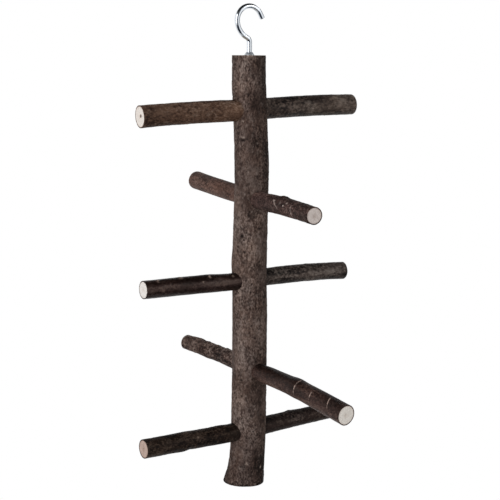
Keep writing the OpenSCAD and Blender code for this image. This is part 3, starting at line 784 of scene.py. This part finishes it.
# Pairs are for a rung's front half and its back half. Stains and marks are listed as the trunk's are,
# with their places from where the rung passes the trunk's axis. The long stains, 30 mm and longer, are
# painted light and shade along a rung; the short ones are the bark's own stains.
rungs = {
    1: {
        "tones": (
            [(42, 28, 21), (84, 63, 51), (102, 79, 65), (136, 114, 99)],
            [(20, 15, 14), (54, 45, 41), (80, 70, 64), (126, 115, 107)],
        ),
        "contrast": (0.8, 0.75),
        "blotches": (1.1, 1.5),
        "rust": 0.5,
        "pores": (0.5, 0.45),
        "flakes": (0.45, 0.4),
        "lichen": (124, 108, 98),
        "lichen shares": (0.3, 0.4),
        "scar_and_highlight": (150, 130, 116),
        "shine": (0.66, 0.55),
        "gloss": 0.12,
        "roughness": (0.6, 0.8),
        "mottle": 4.2 * MM,
        # Long stains: painted shade along the top and underside, painted highlight along the middle of the
        # side facing the camera.
        "stains_and_shading": [
            (-21, 165, 7, 30, 0.1), (-48, 155, 8, 30, 0.06), (-80, 200, 30, 60, -0.06),
            (-62, 160, 50, 20, 0.07), (45, 118, 30, 40, -0.22), (81, 140, 7, 30, 0.14),
            (60, 185, 38, 30, 0.1), (57, 190, 7, 30, 0.06),
        ],
        "marks": [
            (-54, 120, 1.5, 14, 0, 0.2, 0.3), (-24, 128, 3.0, 25, 0, 0.35, 0.1),
            (74, 120, 1.2, 12, 0, 0.2, -0.6),
        ],
        "wood": ((253, 246, 239), (224, 208, 197), (217, 196, 180)),
        "pith": (-1.6 * MM, 0.6 * MM),
        "pith share": 0.95,
        "pith size": 1.6 * MM,
    },
    2: {
        "tones": (
            [(22, 13, 11), (53, 38, 34), (75, 56, 52), (120, 98, 92)],
            [(50, 33, 27), (84, 61, 52), (98, 73, 64), (124, 99, 89)],
        ),
        "contrast": (1.0, 1.7),
        "blotches": (0.9, 1.2),
        "rust": 0.4,
        "pores": (0.7, 0.25),
        "flakes": (0.4, 0.3),
        "lichen": (122, 106, 99),
        "lichen shares": (0.25, 0.1),
        "scar_and_highlight": (186, 168, 160),
        "shine": (0.66, 0.62),
        "gloss": 0.12,
        "roughness": (1.1, 0.4),
        "mottle": 3.8 * MM,
        # The long stain at 55 mm is painted shade along the back half's top.
        "stains_and_shading": [
            (51, 357, 7, 30, 0.12), (55, 50, 40, 24, -0.07), (73, 60, 10, 60, -0.08),
            (-80, 30, 12, 60, -0.06),
        ],
        "marks": [
            (-51, 100, 3.0, 24, 0, 0.6, -0.6), (-48.6, 18, 0.6, 26, 13.9, 0.15, 0.9),
            (-55.4, 34, 0.8, 10, 0, 0.15, 1.4), (-60.5, 22, 0.6, 6, 0, 0.1, 1.4),
            (-64, 44, 0.7, 7, 0, 0.1, 1.2), (-46.5, 38, 0.7, 7, 0, 0.1, 1.4),
            (-72.3, 5, 0.5, 38, 3.0, 0.2, 0.9), (52, 200, 2.5, 20, 0, 0.5, -0.4),
        ],
        "wood": ((218, 207, 201), (182, 167, 159), (166, 146, 136)),
        "pith": (0.4 * MM, -0.5 * MM),
        "pith share": 0.15,
        "pith size": 0.8 * MM,
    },
    3: {
        "tones": (
            [(16, 9, 8), (37, 26, 23), (52, 38, 35), (86, 71, 65)],
            [(22, 17, 15), (54, 46, 42), (80, 70, 65), (122, 112, 105)],
        ),
        "contrast": (0.75, 1.0),
        "blotches": (0.9, 1.4),
        "rust": 0.3,
        "pores": (0.4, 0.5),
        "flakes": (0.2, 0.4),
        "lichen": (116, 106, 99),
        "lichen shares": (0.05, 0.45),
        "scar_and_highlight": (158, 138, 126),
        "shine": (0.33, 0.5),
        "gloss": 0.1,
        "roughness": (0.4, 0.7),
        "mottle": 4.4 * MM,
        # Long stains: painted shade along the top and underside of both halves, painted highlight along the
        # middle of their sides facing the camera.
        "stains_and_shading": [
            (-60, 115, 70, 34, -0.16), (-60, 222, 70, 36, -0.06), (-60, 170, 70, 16, 0.2),
            (80, 172, 9, 30, 0.1), (41, 181, 8, 25, 0.08), (50, 112, 60, 46, -0.12),
            (55, 222, 60, 42, -0.17), (55, 168, 60, 14, 0.08),
        ],
        # The first five marks are buds along the front half's top; their pale tips are partly the buds' own
        # colour and partly a painted highlight.
        "marks": [
            (-83, 116, 1.0, 12, 0, 0.45, 0.9), (-63.5, 106, 1.6, 16, 0, 0.5, 0.6),
            (-38.3, 120, 0.9, 12, 0, 0.4, 1.1), (-17.4, 130, 0.9, 10, 0, 0.35, 0.5),
            (-45.5, 156, 0.8, 8, 0, 0.2, 0.6), (58, 60, 2.0, 16, 0, 0.4, -0.5),
        ],
        "wood": ((254, 250, 246), (230, 219, 210), (221, 205, 192)),
        "pith": (0.5 * MM, 0.3 * MM),
        "pith share": 0.1,
        "pith size": 0.8 * MM,
    },
    4: {
        "tones": (
            [(20, 12, 10), (46, 32, 28), (66, 48, 43), (98, 80, 73)],
            [(20, 12, 10), (58, 43, 38), (90, 73, 67), (144, 127, 119)],
        ),
        "contrast": (0.9, 1.0),
        "blotches": (1.0, 1.0),
        "rust": 0.5,
        "pores": (0.5, 0.7),
        "flakes": (0.25, 0.4),
        "lichen": (140, 124, 116),
        "lichen shares": (0.05, 0.55),
        "scar_and_highlight": (204, 178, 166),
        "shine": (0.5, 0.75),
        "gloss": 0.12,
        "roughness": (0.4, 1.5),
        "mottle": 3.8 * MM,
        # Long stains: painted shade along the front half's top, painted light along its lower side facing the
        # camera and along the back half's top.
        "stains_and_shading": [
            (-60, 105, 60, 40, -0.1), (-75, 62, 55, 34, -0.1), (-70, 342, 60, 36, 0.18),
            (-58, 20, 14, 40, 0.06), (55, 80, 40, 28, 0.06),
        ],
        "marks": [
            (-69.2, 58, 0.36, 38, 0, 0.25, 1.0), (-87.6, 43, 0.33, 19, 0, 0.15, 1.0),
            (-107.2, 52, 0.36, 28, 4.9, 0.18, 1.0), (-66, 235, 0.4, 60, 3, 0.3, 0.9),
            (32, 60, 1.4, 70, 4, 0.5, 0.2), (48, 60, 1.6, 80, -3, 0.6, 0.2),
            (62, 80, 1.5, 80, 3, 0.5, -0.3), (74, 90, 2.2, 40, 0, 0.6, 0.2),
        ],
        "wood": ((252, 246, 238), (222, 210, 198), (208, 190, 176)),
        "pith": (0.7 * MM, 0.6 * MM),
        "pith share": 0.15,
        "pith size": 0.8 * MM,
    },
    5: {
        "tones": (
            [(10, 6, 5), (28, 20, 16), (40, 30, 25), (72, 60, 52)],
            [(13, 8, 7), (36, 27, 24), (53, 42, 38), (90, 78, 72)],
        ),
        "contrast": (1.2, 0.75),
        "blotches": (1.2, 0.8),
        "rust": 0.4,
        "pores": (0.5, 0.4),
        "flakes": (0.35, 0.2),
        "lichen": (78, 68, 60),
        "lichen shares": (0.3, 0.35),
        "scar_and_highlight": (114, 98, 88),
        "shine": (0.55, 0.55),
        "gloss": 0.08,
        "roughness": (0.7, 0.9),
        "mottle": 4.2 * MM,
        # Long stains: painted light along the front half's upper side, painted shade along the back half's
        # top and a painted highlight along its middle.
        "stains_and_shading": [
            (-53, 145, 8, 25, 0.12), (-79, 172, 10, 30, 0.08), (-60, 128, 60, 28, 0.12),
            (40, 110, 60, 36, -0.06), (45, 164, 60, 16, 0.08),
        ],
        "marks": [
            (-60, 110, 2.5, 20, 0, 0.4, 0.2), (-52.4, 152, 0.9, 9, 0, 0.25, 1.2),
            (-65, 228, 4.5, 48, 0, 0.5, 0), (-57.5, 228, 3, 48, 0, -0.5, -0.2),
            (-28, 105, 6, 40, 0, 0.4, 0), (-17, 110, 4, 45, 0, -0.5, 0), (44, 60, 2.0, 18, 0, 0.4, 0.2),
        ],
        "wood": ((207, 183, 171), (158, 131, 117), (146, 116, 100)),
        "pith": (-0.3 * MM, 0.5 * MM),
        "pith share": 0.35,
        "pith size": 0.8 * MM,
    },
}

for number, rung in rungs.items():
    branch = rung_axes[number]
    branch.take_shape(f"rung_{number}", round(branch.length / rung_row_step), rung_columns)
    rung_wood = wood_core(f"rung_{number}_wood_core", branch)
    branch_places(rung_wood, branch)
    end_grain = sawn_finish(f"rung_{number}_end_grain", rung, rung_ring_width, rung_wood_seed + number)
    set_finish(rung_wood, end_grain)
    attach(rung_wood, "trunk")
    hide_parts(f"rung_{number}_wood")

    def rung_halves(x, y, along, middle=branch.middle):
        """The rung's front half, 0, and its back half, 1."""
        return ((along - middle) / half_blend + 0.5).clip()

    rung_bark = bark_shell(f"rung_{number}_bark_skin", branch, rung["marks"], rung["stains_and_shading"])
    finish = bark_finish(f"rung_{number}_bark", rung, rung_bark_seed + number, rung_halves)
    raise_bark(rung_bark, branch, rung["roughness"], rung_relief, rung_relief_seed + number, finish)
    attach(rung_bark, "trunk")
    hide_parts(f"rung_{number}_bark")

# Screw hook. One length of drawn steel wire, bent cold to an open hook over a straight shank, with a
# coarse wood thread cut on its lower end and the whole plated in bright zinc.
crown_radius = -hook_low.x - wire_radius
crown_height = -(crown_radius - wire_radius)
neck_radius = crown_radius + 3.2 * MM
neck_straight = 1 * MM
neck_turn, tip_turn = math.radians(63), math.radians(30)
neck_drop = neck_straight * math.cos(neck_turn)
shank_bend = (crown_radius - neck_straight * math.sin(neck_turn)) / (1 - math.cos(neck_turn)) - neck_radius
shank_top = crown_height - (neck_radius + shank_bend) * math.sin(neck_turn) - neck_drop
thread_root, thread_pitch, point_length = 1.5 * MM, 1.8 * MM, 5 * MM
thread_top = trunk_high.z - 1.2 * MM
thread_length = thread_top - hook_low.z
crest_inset = 0.03 * MM


def wire_arc(x, z, radius, start, end, steps):
    """Points of the wire's line along an arc."""
    return [(x + radius * math.cos(a), 0, z + radius * math.sin(a)) for a in np.linspace(start, end, steps)]


tip_length = 4.5 * MM
crown_steps, bend_steps = 72, 28
tip_start = Vector(wire_arc(0, crown_height, crown_radius, tip_turn, tip_turn, 1)[0])
tip_way = Vector((math.sin(tip_turn), 0, -math.cos(tip_turn)))
# Distance from the cut end of the tip, and how far its round edge lies inside the wire there, in mm
tip_edge = ((0, 0.62), (0.08, 0.4), (0.25, 0.18), (0.5, 0.05), (0.8, 0))
crown_arc = wire_arc(0, crown_height, crown_radius, tip_turn, math.pi, crown_steps)
neck_middle = neck_radius - crown_radius
neck_arc = wire_arc(neck_middle, crown_height, neck_radius, math.pi, math.pi + neck_turn, bend_steps)
shank_arc = wire_arc(-shank_bend, shank_top, shank_bend, neck_turn, 0, bend_steps)
# Height and radius of the straight wire, from the shank down to the point of the screw
screw_sections = (
    (0.5 * (shank_top + thread_top), wire_radius),
    (thread_top + 0.3 * MM, wire_radius),
    (thread_top - 0.8 * MM, thread_root),
    (hook_low.z + point_length, thread_root),
    (hook_low.z + 0.5 * point_length, 0.62 * thread_root),
    (hook_low.z, 0.2 * MM),
)
wire_path = [
    *[
        (tuple(tip_start + tip_way * (tip_length - away * MM)), wire_radius - inset * MM)
        for away, inset in tip_edge
    ],
    *[(point, wire_radius) for point in (*crown_arc, *neck_arc[1:], *shank_arc)],
    *[((0, 0, z), radius) for z, radius in screw_sections],
]
wire_steps = [(k, k + 1) for k in range(len(wire_path) - 1)]
screw_hook = new_piece("screw_hook_wire", [point for point, radius in wire_path], wire_steps, [])
set_values(screw_hook, "wire_radius", "FLOAT", [radius for point, radius in wire_path])
thread_sizes = {
    "Turns": thread_length / thread_pitch,
    "Thread root": thread_root,
    "Thread crest": wire_radius - crest_inset,
    "Thread bottom": hook_low.z,
    "Thread length": thread_length,
    "Point length": point_length,
}


def screw_hook_tree():
    """Geometry tree that sweeps wire along a bent line and winds a wood thread on its straight end."""
    inputs = {"Geometry": ["Geometry"], "Float": [*thread_sizes], "Material": ["Zinc"]}
    tree, metal = new_tree("screw hook", inputs)
    wire_sides, turn_steps, thread_sides = 40, 40, 4
    point_share, run_out_length = 0.16, 1.6 * MM
    given = metal.node("NodeGroupInput")
    height, root = given.also("Thread length"), given.also("Thread root")

    def swept(line, sides, radius_name):
        section = metal.node("GeometryNodeCurvePrimitiveCircle", {}, {"Resolution": sides, "Radius": 1.0})
        return metal.node(
            "GeometryNodeCurveToMesh",
            {},
            {"Curve": line, "Profile Curve": section, "Scale": stored(metal, radius_name), "Fill Caps": True},
        )

    line = metal.node("GeometryNodeMeshToCurve", {}, {"Mesh": given})
    wire = swept(line, wire_sides, "wire_radius")
    spiral = metal.node(
        "GeometryNodeCurveSpiral",
        {},
        {
            "Resolution": turn_steps,
            "Rotations": given.also("Turns"),
            "Start Radius": root,
            "End Radius": root,
            "Height": height,
            "Reverse": True,
        },
    )
    x, y, rise = metal.parts(metal.node("GeometryNodeInputPosition"))
    taper = point_share + (rise / given.also("Point length")).clip() * (1 - point_share)
    run_out = ((height - rise) / run_out_length).clip()
    to = metal.joined(x * taper, y * taper, rise + given.also("Thread bottom"))
    ridge = (given.also("Thread crest") - root) * taper * run_out
    spiral = metal.node(
        "GeometryNodeStoreNamedAttribute",
        {"data_type": "FLOAT", "domain": "POINT"},
        {"Geometry": spiral, "Name": "ridge_size", "Value": ridge},
    )
    spiral = metal.node("GeometryNodeSetCurveNormal", {"mode": "Z_UP"}, {"Curve": spiral})
    spiral = metal.node("GeometryNodeSetPosition", {}, {"Geometry": spiral, "Position": to})
    thread = swept(spiral, thread_sides, "ridge_size")
    thread = metal.node("GeometryNodeSetShadeSmooth", {}, {"Geometry": thread, "Shade Smooth": False})
    shape = metal.node("GeometryNodeJoinGeometry")
    for part in (wire, thread):
        tree.links.new(part.socket, shape.socket.node.inputs[0])
    end_tree(metal, shape, given.also("Zinc"))
    return tree


def zinc_finish(name, seed, dullness):
    """Bright zinc plating: a cool silver with faint cloudy patches and fine drawing lines."""
    finish, metal = new_finish(name)
    place = metal.node("ShaderNodeTexCoord", {}, {}, "Object")
    cloud = metal.noise(place, 3 * MM, 3.0, 0.6, seed)
    scratches = metal.noise(metal.stretch(place, (1, 1, 0.15)), 0.25 * MM, 2.0, 0.6, seed + 2)
    tone = metal.mix((cloud * 0.8 + scratches * 0.3).clip(), paint(198, 205, 213), paint(229, 233, 238))
    bump = metal.bump(0.12, 0.05 * MM, scratches)
    roughness = dullness + cloud * 0.08
    metal.surface({"Base Color": tone, "Metallic": 1.0, "Roughness": roughness, "Normal": bump})
    return finish


wire_zinc = zinc_finish("bright_zinc_wire", seed=4.0, dullness=0.06)
give_tree(screw_hook, screw_hook_tree(), {**thread_sizes, "Zinc": wire_zinc})
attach(screw_hook, "hook")
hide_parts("screw_hook")

# Collar. A small dished collar pressed from zinc-plated sheet, captive on the hook's shank; its foot
# sits on the sawn top of the trunk and covers the mouth of the screw hole.
collar_low, collar_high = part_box("hook_collar")
collar_foot = collar_high.x
collar_height = collar_high.z - collar_low.z
collar_bore = wire_radius + screw_gap
collar_sheet = 0.7 * MM
collar_columns = 72
collar_edge = math.radians(60)
# Radius and height of the pressed section, from the bore over the top and round the foot
collar_outline = [
    (collar_bore, 0.95 * collar_height),
    (collar_bore + 0.15 * MM, collar_height),
    (collar_bore + 0.45 * MM, collar_height),
    (collar_bore + 0.68 * MM, 0.93 * collar_height),
    (0.5 * (collar_bore + collar_foot) + 0.28 * MM, 0.52 * collar_height),
    (collar_foot - 0.22 * MM, 0.24 * collar_height),
    (collar_foot - 0.05 * MM, 0.15 * collar_height),
    (collar_foot, 0.08 * collar_height),
    (collar_foot - 0.03 * MM, 0.02 * collar_height),
    (collar_foot - 0.12 * MM, 0.0),
    (collar_foot - collar_sheet, 0.0),
    (collar_bore, collar_height - 2 * collar_sheet),
]
collar_base = Vector((0, 0, collar_low.z))
collar_axis = Axis(collar_base, collar_base + Z_WAY, X_WAY)
collar_rings = [collar_axis.rings([z], np.full((1, collar_columns), r))[0] for r, z in collar_outline]
collar = closed_skin("hook_collar_dish", collar_rings[::-1], looped=True)
collar.data.set_sharp_from_angle(angle=collar_edge)
set_finish(collar, zinc_finish("bright_zinc_collar", seed=9.0, dullness=0.45))
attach(collar, "collar")
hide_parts("hook_collar")

# Studio. A plain pale floor well below the hanging perch, a white surround, soft lamps at the left, the
# right and the back, and dark cards that only bright metal mirrors. The camera stands at the height of
# the trunk's top, a little under a metre away.
square_corners, square_face = ((-1, -1), (1, -1), (1, 1), (-1, 1)), [(0, 1, 2, 3)]
floor_drop, floor_reach = 0.9, 6.0
floor_height = trunk_low.z - floor_drop
floor_points = [(x * floor_reach, y * floor_reach, floor_height) for x, y in square_corners]
floor = new_piece("floor", floor_points, [], square_face)


def light_path(wiring):
    """1 for what the camera sees, and 1 for what a reflection or a refraction sees."""
    path = wiring.node("ShaderNodeLightPath", {}, {}, "Is Camera Ray")
    return path, path.also("Is Glossy Ray") + path.also("Is Transmission Ray")


shadow_share, shadow_reach, shadow_fade = 0.12, 0.3, 0.35
floor_finish, paper = new_finish("pale_floor")
seen, mirrored = light_path(paper)
matte = paper.node("ShaderNodeBsdfDiffuse", {}, {"Color": paint(236, 236, 236)})
glow = paper.node("ShaderNodeEmission", {}, {"Color": paint(255, 255, 255), "Strength": 1.0})
place = paper.node("ShaderNodeTexCoord", {}, {}, "Object")
away = paper.vector("LENGTH", {0: paper.stretch(place, (1, 1, 0))}, "Value")
glow_share = 1 - shadow_share + ((away - shadow_reach) / shadow_fade).clip() * shadow_share
glow_share = (seen + mirrored).clip() * glow_share
floor_mix = paper.node("ShaderNodeMixShader", {}, {"Fac": glow_share, 1: matte, 2: glow})
paper.node("ShaderNodeOutputMaterial", {}, {"Surface": floor_mix})
floor.data.materials.append(floor_finish)

level_light, top_light, ceiling_shine = 0.43, 0.22, 0.02
ceiling_rise, ceiling_fade = 0.45, 0.2
world = bpy.data.worlds.new("studio")
world.use_nodes = True
world.node_tree.nodes.clear()
room = Wiring(world.node_tree)
seen, mirrored = light_path(room)
rise = room.parts(room.node("ShaderNodeTexCoord", {}, {}, "Generated"))[2]
plain_light = level_light + rise.clip() * (top_light - level_light)
shine = 1 + ((rise - ceiling_rise) / ceiling_fade).clip() * (ceiling_shine - 1)
strength = plain_light + mirrored.clip() * (shine - plain_light)
strength = strength + seen * (1 - strength)
background = room.node("ShaderNodeBackground", {}, {"Color": paint(255, 255, 255), "Strength": strength})
room.node("ShaderNodeOutputWorld", {}, {"Surface": background})
bpy.context.scene.world = world

aim = (trunk.foot + trunk.head) / 2


def direction(turn, rise):
    """Direction at a turn and a rise in degrees."""
    turn, rise = math.radians(turn), math.radians(rise)
    return Vector((math.cos(turn) * math.cos(rise), math.sin(turn) * math.cos(rise), math.sin(rise)))


def soft_lamp(name, turn, rise, distance, size, power):
    """Square soft lamp that faces the perch from a direction in degrees."""
    way = direction(turn, rise)
    light = bpy.data.lights.new(name, "AREA")
    light.size, light.energy = size, power
    lamp = placed(name, light)
    lamp.location = aim + way * distance
    lamp.rotation_euler = way.to_track_quat("Z", "Y").to_euler()
    lamp.visible_camera = False


soft_lamp("left_lamp", turn=211, rise=15, distance=1.7, size=1.2, power=17)
soft_lamp("right_lamp", turn=302, rise=22, distance=1.5, size=0.4, power=1.8)
soft_lamp("back_lamp", turn=18, rise=15, distance=1.7, size=1.2, power=7)
flag_distance = 0.9


def flag(name, turn, rise, width, height):
    """Dark card that faces the hook from a direction in degrees, draws a dark line in bright metal, and
    shows nowhere else."""
    way = direction(turn, rise)
    across = direction(turn + 90, 0)
    rising = way.cross(across)
    middle = way * flag_distance
    corners = [middle + across * (x * width / 2) + rising * (y * height / 2) for x, y in square_corners]
    card = new_piece(name, corners, [], square_face)
    card_finish, cloth = new_finish(name)
    matte = cloth.node("ShaderNodeBsdfDiffuse", {}, {"Color": paint(66, 76, 88)})
    cloth.node("ShaderNodeOutputMaterial", {}, {"Surface": matte})
    card.data.materials.append(card_finish)
    card.visible_camera = card.visible_diffuse = card.visible_transmission = card.visible_shadow = False


flag("front_flag", turn=248, rise=2, width=0.9, height=1.2)
flag("low_flag", turn=220, rise=-38, width=1.3, height=0.6)
flag("rear_flag", turn=15, rise=0, width=0.9, height=0.9)
flag("right_flag", turn=298, rise=-54, width=1.3, height=0.5)

view_distance, view_height, view_shift = 814.2 * MM, 3.7 * MM, 1.38 * MM
view_turn, view_tilt, view_roll = math.radians(30), math.radians(10.94), math.radians(0.32)
focal_pixels, picture_pixels, sensor_width = 1032.5, 500, 36
rightward = Vector((math.cos(view_turn), -math.sin(view_turn), 0))
level_ahead = Vector((math.sin(view_turn), math.cos(view_turn), 0))
ahead = level_ahead * math.cos(view_tilt) - Z_WAY * math.sin(view_tilt)
camera_data = bpy.data.cameras.new("camera")
camera_data.sensor_width = sensor_width
camera_data.lens = focal_pixels / picture_pixels * sensor_width
camera = placed("camera", camera_data)
turned = Matrix((rightward, (-ahead).cross(rightward), -ahead)).transposed().to_4x4()
stand = trunk.head + rightward * view_shift - level_ahead * view_distance + Z_WAY * view_height
camera.matrix_world = Matrix.Translation(stand) @ turned @ Matrix.Rotation(view_roll, 4, "Z")
bpy.context.scene.camera = camera
bpy.context.scene.view_settings.view_transform = "Standard"

bpy.context.view_layer.update()
